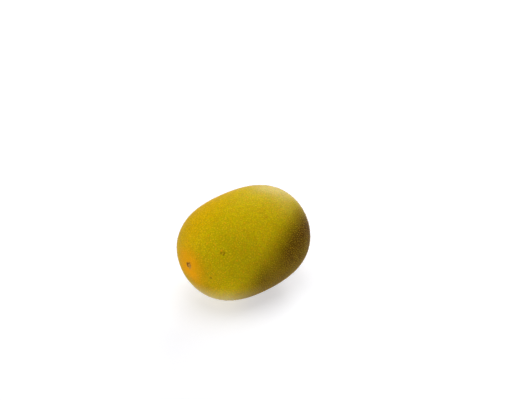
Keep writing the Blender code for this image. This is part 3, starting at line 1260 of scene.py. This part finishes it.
def with_mottling(tree, spot, colour, mottle):
    """The colour with warm and dark mottling, and a net of cells with flat dots in them."""
    sockets = {"Vector": spot.place, "Scale": CELL_SCALE, "Randomness": CELL_RANDOMNESS}
    cell = tree.node("ShaderNodeTexVoronoi", None, sockets)
    orange, brown, gold = tree.parts(Wire(tree, cell.socket.node.outputs["Color"]))
    return tree.layered(
        colour,
        (tree.noise(spot.place, *WARM_NOISE).rise(*WARM_LEVELS), OCHRE),
        (mottle.rise(*MOTTLE_LEVELS), RECESS),
        (cell.hump(*CELL_NET) * CELL_NET_SHARE, RECESS),
        (cell.rise(*GOLD_CELL) * gold.between(*GOLD_CELL_SHARES), GOLD_DOT),
        (cell.rise(*ORANGE_CELL) * orange.rise(*ORANGE_PICK), ORANGE_DOT),
        (cell.rise(*BROWN_CELL) * brown.rise(*BROWN_PICK), BROWN_DOT),
    )


def with_marks(tree, spot, colour, mottle, marks):
    """The colour with the fruit's own marks laid on, and the wart on top."""
    groups = (
        (ORANGE_SPECKS, 1.0, ORANGE_DOT),
        (FAINT_MARKS, mottle.rise(*FAINT_LEVELS), FAINT_BROWN),
        (WART_SMUDGES, SMUDGE_SHARE, SMUDGE),
        (DARK_SPECKS, SPECK_SHARE, BROWN_DOT),
        ((WART_LIGHT,), 1.0, GOLD_DOT),
        ((WART,), 1.0, ORANGE_DOT),
    )
    for group, share, tint in groups:
        for mark in group:
            colour = tree.mix(marks.near(tree, spot, mark) * share, colour, tint)
    return colour


def skin_colour(tree, spot, cheek_and_shade, marks):
    """Mottled green gold, orange at the scar, with a duller flank deepened by painted shade, a painted
    floor reflection underneath and a dark ring.
    """
    clouds = tree.noise(spot.place, *CLOUD_NOISE).rise(*CLOUD_LEVELS)
    patchy = tree.noise(spot.place, *PATCH_NOISE).rise(*PATCH_LEVELS)
    mottle = tree.noise(spot.place, *MOTTLE_NOISE)
    colour = with_mottling(tree, spot, ground_colour(tree, spot, clouds, patchy), mottle)
    flush = beside_scar(spot, FLUSH_SHIFT, FLUSH_REACH, clouds)
    colour = tree.mix(flush * patchy.between(*FLUSH_SHARES), colour, FLUSH)
    colour = with_marks(tree, spot, colour, mottle, marks)
    # Painted shade over one flank, on top of its own duller colour
    colour = tree.mix(cheek_and_shade * clouds.between(*CHEEK_AND_SHADE_SHARES), colour, CHEEK_AND_SHADE_TINT, "MULTIPLY")
    # Painted reflection of the pale floor, laid on the underside
    underside = spot.up.rise(*UNDERSIDE_REFLECTION_EDGE) * cheek_and_shade.between(*PAINTED_REFLECTION_OFF_CHEEK_AND_SHADE)
    ring = spot.distance.rise(*HALO_EDGE) * spot.x.rise(*HALO_END)
    return tree.layered(
        colour,
        (underside * patchy.between(*PAINTED_REFLECTION_SHARES), PAINTED_FLOOR_REFLECTION),
        (ring * patchy.between(*HALO_SHARES), HALO),
    )


def skin_material(middle, marks):
    """The skin: satin, with a soft sheen at the top near the stem end and a pale one underneath."""
    material, tree, shader = principled("golden_skin", {
        "IOR": 1.40,
        "Specular IOR Level": 0.02,
        "Specular Tint": WARM_SPECULAR,
        "Coat Roughness": 0.42,
        "Coat IOR": 1.30,
    })
    spot = Spot(tree, object_place(tree), middle)
    # The duller flank, partly painted shade
    cheek_and_shade = cheek_and_shade_share(tree, spot)
    leather = tree.noise(spot.place, *LEATHER_NOISE)
    pores = tree.noise(spot.place, *PORE_NOISE)
    upper_sheen = spot.up.rise(*SHEEN_HEIGHT) * spot.x.rise(*SHEEN_PLACE)
    lower_sheen = spot.up.rise(*UNDERSIDE_REFLECTION_EDGE) * (1.0 - cheek_and_shade)
    wire_up(tree, shader, {
        "Base Color": skin_colour(tree, spot, cheek_and_shade, marks),
        "Roughness": tree.noise(spot.place, *GLOSS_NOISE).between(*SKIN_ROUGHNESS),
        "Coat Weight": upper_sheen * cheek_and_shade.between(*SHEEN_OFF_CHEEK_AND_SHADE) + lower_sheen,
        "Normal": bumped(tree, leather + pores * PORE_SHARE, *GRAIN_BUMP),
    })
    return material


# Raised dots and hairs

DOT_TONES = ((0.88, 0.61, 0.024, 1.0), (0.70, 0.47, 0.010, 1.0))
# Dot colour on the duller flank, partly painted shade
DOT_ON_CHEEK_AND_SHADE = (0.46, 0.22, 0.002, 1.0)
DOT_AT_SCAR = (1.0, 0.48, 0.003, 1.0)
DOT_AT_DISC = (0.78, 0.44, 0.03, 1.0)
DOT_NOISE = (700.0, 1.0, 0.5)
DOT_CHEEK_AND_SHADE_SHARE = 0.75
DOT_SCAR_EDGE = (0.011, 0.004, 0.8)
DOT_SCAR_END = (-0.018, -0.026)
DOT_DISC_EDGE = (0.017, 0.009, 0.8)
DOT_DISC_END = (0.014, 0.022)
DOT_ORANGE_LEVELS = (0.66, 0.72, 0.7)
DOT_WART_SPREAD = 1.4
DOT_ROUGHNESS = (0.40, 0.60)
DOT_GRAIN_SCALE = 6000.0
DOT_BUMP = 0.00004
DOWN_TONES = ((0.58, 0.38, 0.02, 1.0), (0.78, 0.56, 0.09, 1.0))
BRISTLE_TONES = ((0.60, 0.34, 0.03, 1.0), (0.86, 0.57, 0.11, 1.0))
HAIR_NOISE = (1300.0, 1.0, 0.5)
HAIR_ROUGHNESS = (0.5, 0.7)


def dot_material(middle, marks):
    """Raised dots: gold, orange at the scar, browner on the disc and on the duller flank with its
    painted shade, and some orange.
    """
    material, tree, shader = principled("gold_dots", {
        "IOR": 1.40,
        "Specular IOR Level": 0.14,
        "Specular Tint": DOT_SPECULAR,
    })
    spot = Spot(tree, object_place(tree), middle)
    each = tree.noise(spot.place, *DOT_NOISE)
    colour = tree.layered(
        toned(tree, each, DOT_TONES),
        # Browner dots on the duller flank, partly painted shade
        (cheek_and_shade_share(tree, spot) * DOT_CHEEK_AND_SHADE_SHARE, DOT_ON_CHEEK_AND_SHADE),
        (spot.from_scar.rise(*DOT_SCAR_EDGE) * spot.x.rise(*DOT_SCAR_END), DOT_AT_SCAR),
        (spot.distance.rise(*DOT_DISC_EDGE) * spot.x.rise(*DOT_DISC_END), DOT_AT_DISC),
        (each.rise(*DOT_ORANGE_LEVELS), ORANGE_DOT),
        (marks.near(tree, spot, WART, DOT_WART_SPREAD), ORANGE_DOT),
    )
    wire_up(tree, shader, {
        "Base Color": colour,
        "Roughness": each.between(*DOT_ROUGHNESS),
        "Normal": bumped(tree, tree.noise(spot.place, DOT_GRAIN_SCALE), DOT_BUMP),
    })
    return material


def hair_material(middle, name, tones):
    """Dry hairs, browner here and paler there."""
    material, tree, shader = principled(name, {"IOR": 1.45, "Specular IOR Level": 0.15})
    each = tree.noise(Spot(tree, object_place(tree), middle).place, *HAIR_NOISE)
    wire_up(tree, shader, {
        "Base Color": toned(tree, each, tones),
        "Roughness": each.between(*HAIR_ROUGHNESS),
    })
    return material


# Cork, dried sepals and the torn scar

CORK_TONES = ((0.46, 0.160, 0.008, 1.0), (0.66, 0.27, 0.016, 1.0))
CORK_PALE_GRAIN = (0.80, 0.46, 0.08, 1.0)
CORK_DARK_GRAIN = (0.20, 0.055, 0.005, 1.0)
CORK_FLAKE = (0.74, 0.44, 0.11, 1.0)
CORK_RIM = (0.60, 0.27, 0.018, 1.0)
CORK_EDGE = (0.15, 0.080, 0.025, 1.0)
CORK_HOLLOW = (0.19, 0.060, 0.006, 1.0)
CORK_DEPTH = (0.040, 0.015, 0.003, 1.0)
CORK_BROAD_NOISE = (420.0, 3.0, 0.6)
CORK_GRAIN_NOISE = (2100.0, 4.0, 0.65)
PALE_GRAIN_LEVELS = (0.54, 0.74, 0.6)
DARK_GRAIN_LEVELS = (0.48, 0.30, 0.7)
FLAKE_MARKS = (-0.15, -0.75)
RIM_TINT = (DISC_RADIUS * 0.88, DISC_RADIUS * 0.09)
RIM_TINT_SHARE = 0.30
EDGE_TINT = (DISC_RADIUS * 0.93, DISC_RADIUS * 1.04, 0.9)
HOLLOW_MARKS = (0.10, 0.45, 0.85)
DEEP_MARKS = (0.50, 0.90)
CORK_ROUGHNESS = (0.62, 0.87)
CORK_BUMP = 0.00025
SEPAL_TONES = ((0.20, 0.078, 0.012, 1.0), (0.46, 0.235, 0.050, 1.0))
SEPAL_TIP = (0.085, 0.034, 0.008, 1.0)
SEPAL_TIP_PLACE = (0.0356, 0.0374, 0.6)
SEPAL_NOISE = (1500.0, 3.0, 0.6)
SEPAL_ROUGHNESS = (0.62, 0.82)
SEPAL_BUMP = (0.00012, 0.8)
SCAR_TANS = ((0.58, 0.27, 0.03, 1.0), (0.74, 0.44, 0.09, 1.0))
SCAR_TAN_LEVELS = (0.4, 0.6)
SCAR_EDGE_TAN = (0.66, 0.30, 0.010, 1.0)
SCAR_EDGE_LEVELS = (0.35, 0.7)
SCAR_EDGE = (SCAR_RADIUS * 0.70, SCAR_RADIUS * 1.05)
SCAR_CHAR = (0.29, 0.108, 0.004, 1.0)
CHAR_LEVELS = (0.30, 0.95)
SCAR_NOISE = (2600.0, 3.0, 0.6)
SCAR_ROUGHNESS = (0.55, 0.75)
SCAR_BUMP = (0.00010, 0.8)


def cork_material(middle):
    """Cork: orange brown with a rough grain, pale on its flakes and dark in its hollows."""
    material, tree, shader = principled("stem_cork", {"IOR": 1.35, "Specular IOR Level": 0.25})
    spot = Spot(tree, object_place(tree), middle)
    mark = mark_on_mesh(tree)
    grain = tree.noise(spot.place, *CORK_GRAIN_NOISE)
    colour = tree.layered(
        toned(tree, tree.noise(spot.place, *CORK_BROAD_NOISE), CORK_TONES),
        (grain.rise(*PALE_GRAIN_LEVELS), CORK_PALE_GRAIN),
        (grain.rise(*DARK_GRAIN_LEVELS), CORK_DARK_GRAIN),
        (mark.rise(*FLAKE_MARKS), CORK_FLAKE),
        (spot.distance.hump(*RIM_TINT) * RIM_TINT_SHARE, CORK_RIM),
        (spot.distance.rise(*EDGE_TINT), CORK_EDGE),
        (mark.rise(*HOLLOW_MARKS), CORK_HOLLOW),
        (mark.rise(*DEEP_MARKS), CORK_DEPTH),
    )
    wire_up(tree, shader, {
        "Base Color": colour,
        "Roughness": grain.between(*CORK_ROUGHNESS),
        "Normal": bumped(tree, grain, CORK_BUMP),
    })
    return material


def sepal_material(middle):
    """Dried sepals: papery brown, with streaks and darker tips."""
    material, tree, shader = principled("dried_sepal", {"IOR": 1.4, "Specular IOR Level": 0.15})
    spot = Spot(tree, object_place(tree), middle)
    streak = tree.noise(spot.place, *SEPAL_NOISE)
    tip = spot.x.rise(*SEPAL_TIP_PLACE)
    wire_up(tree, shader, {
        "Base Color": tree.mix(tip, toned(tree, streak, SEPAL_TONES), SEPAL_TIP),
        "Roughness": streak.between(*SEPAL_ROUGHNESS),
        "Normal": bumped(tree, streak, *SEPAL_BUMP),
    })
    return material


def scar_material(middle):
    """The torn scar: dark brown on its rim, light tan inside, and skin colour at its edge."""
    material, tree, shader = principled("blossom_scar", {"IOR": 1.4, "Specular IOR Level": 0.15})
    spot = Spot(tree, object_place(tree), middle)
    crumbs = tree.noise(spot.place, *SCAR_NOISE)
    inside = tree.mix(crumbs.rise(*SCAR_TAN_LEVELS), *SCAR_TANS)
    outside = tree.mix(crumbs.rise(*SCAR_EDGE_LEVELS), FLUSH, SCAR_EDGE_TAN)
    colour = tree.mix(spot.from_scar.rise(*SCAR_EDGE), inside, outside)
    wire_up(tree, shader, {
        "Base Color": tree.mix(mark_on_mesh(tree).rise(*CHAR_LEVELS), colour, SCAR_CHAR),
        "Roughness": crumbs.between(*SCAR_ROUGHNESS),
        "Normal": bumped(tree, crumbs, *SCAR_BUMP),
    })
    return material


# Floor, light and camera

FLOOR_REACH = 3.0
FLOOR_TONES = ((0.49, 0.49, 0.50, 1.0), (0.51, 0.51, 0.51, 1.0))
FLOOR_CLOUD_SCALE = 3.0
FLOOR_GLOW = (0.565, 0.570, 0.595, 1.0)
FAR_GLOW = (1.0, 1.0, 1.0, 1.0)
FAR_EDGE = (0.25, 0.80)
WORLD_WHITE = (1.0, 1.0, 1.0, 1.0)
WORLD_GLOW = 0.02
SOFT_BOX_DISTANCE = 1.0

# Soft boxes, each with its azimuth and elevation in degrees, its side and its power
SOFT_BOXES = {
    "overhead": (0.0, 88.0, 0.9, 6.85),
    "high_left": (-114.5, 60.0, 0.9, 1.2),
    "low_left": (-114.5, 24.0, 0.8, 2.4),
    "front": (-74.5, 35.0, 0.9, 0.6),
    "behind_right": (120.0, 18.0, 0.5, 4.4),
    "right": (86.0, 35.0, 0.5, 2.2),
}


def make_floor():
    mesh = bpy.data.meshes.new("floor")
    bm = bmesh.new()
    bmesh.ops.create_grid(bm, x_segments=1, y_segments=1, size=FLOOR_REACH)
    bm.to_mesh(mesh)
    bm.free()
    floor = add_object("floor", mesh)
    constants = {"Roughness": 0.6, "Emission Strength": 1.0}
    material, tree, shader = principled("pale_floor", constants)
    place = object_place(tree)
    far = tree.vectors("LENGTH", place, output=1).rise(*FAR_EDGE)
    wire_up(tree, shader, {
        "Base Color": tree.mix(tree.noise(place, FLOOR_CLOUD_SCALE), *FLOOR_TONES),
        "Emission Color": tree.mix(far, FLOOR_GLOW, FAR_GLOW),
    })
    mesh.materials.append(material)


def way_to(azimuth, elevation):
    """The way from the fruit to an azimuth and an elevation. Azimuth 0 is at -Y, 90 degrees at +X."""
    flat = math.cos(elevation)
    return Vector((math.sin(azimuth) * flat, -math.cos(azimuth) * flat, math.sin(elevation)))


def soft_light(name, azimuth, elevation, size, power, middle):
    """A square soft box that faces the fruit."""
    data = bpy.data.lights.new(name, "AREA")
    data.size = size
    data.energy = power
    light = add_object(name, data)
    away = way_to(math.radians(azimuth), math.radians(elevation))
    light.location = middle + away * SOFT_BOX_DISTANCE
    light.rotation_euler = (-away).to_track_quat("-Z", "Y").to_euler()


def light_studio(middle):
    """A strong soft box overhead, three weak ones to the camera's left, and two behind at its right."""
    world = bpy.data.worlds.new("studio")
    world.use_nodes = True
    background = world.node_tree.nodes["Background"]
    background.inputs["Color"].default_value = WORLD_WHITE
    background.inputs["Strength"].default_value = WORLD_GLOW
    bpy.context.scene.world = world
    for name, (azimuth, elevation, size, power) in SOFT_BOXES.items():
        soft_light(name, azimuth, elevation, size, power, middle)


def set_camera(middle):
    """The camera at the photograph's angle, with the fruit's middle where the photograph has it."""
    camera = add_object("camera", bpy.data.cameras.new("camera"))
    camera.data.lens = LENS_MM
    camera.data.sensor_width = SENSOR_MM
    back = way_to(VIEW_AZIMUTH, VIEW_ELEVATION)
    right = Vector((0.0, 0.0, 1.0)).cross(back).normalized()
    up = back.cross(right)
    distance = PHOTO_WIDTH * LENS_MM / (SENSOR_MM * PIXELS_PER_METRE)
    aside = (PHOTO_WIDTH / 2 - MIDDLE_PIXEL[0]) / PIXELS_PER_METRE
    above = (MIDDLE_PIXEL[1] - PHOTO_HEIGHT / 2) / PIXELS_PER_METRE
    camera.location = middle + back * distance
    aim = middle + right * aside + up * above
    camera.rotation_euler = (aim - camera.location).to_track_quat("-Z", "Y").to_euler()
    bpy.context.scene.camera = camera


def main():
    bpy.context.scene.view_settings.view_transform = "Standard"
    skin, middle = make_skin()
    search = skin_finder(skin)
    marks = Marks(search, middle)
    skin.data.materials.clear()
    skin.data.materials.append(skin_material(middle, marks))
    at_stem = ground_finder(search, middle, 1.0)
    at_blossom = ground_finder(search, middle, -1.0, SCAR_PLACE)
    sink_under_ends(skin, middle)
    pieces = [
        skin,
        make_dots(skin, middle, dot_material(middle, marks)),
        make_down(skin, middle, hair_material(middle, "down", DOWN_TONES)),
        make_bristles(skin, middle, hair_material(middle, "bristles", BRISTLE_TONES)),
        make_stem_disc(at_stem, cork_material(middle)),
        *make_sepals(at_stem, sepal_material(middle)),
        make_blossom_scar(at_blossom, scar_material(middle)),
        make_wart(marks, dot_material(middle, marks)),
    ]
    for piece in pieces:
        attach(piece, "root")
        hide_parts("kiwi_fruit")
        print(piece.name, "triangles", sum(len(face.vertices) - 2 for face in piece.data.polygons))
    make_floor()
    light_studio(middle)
    set_camera(middle)


main()
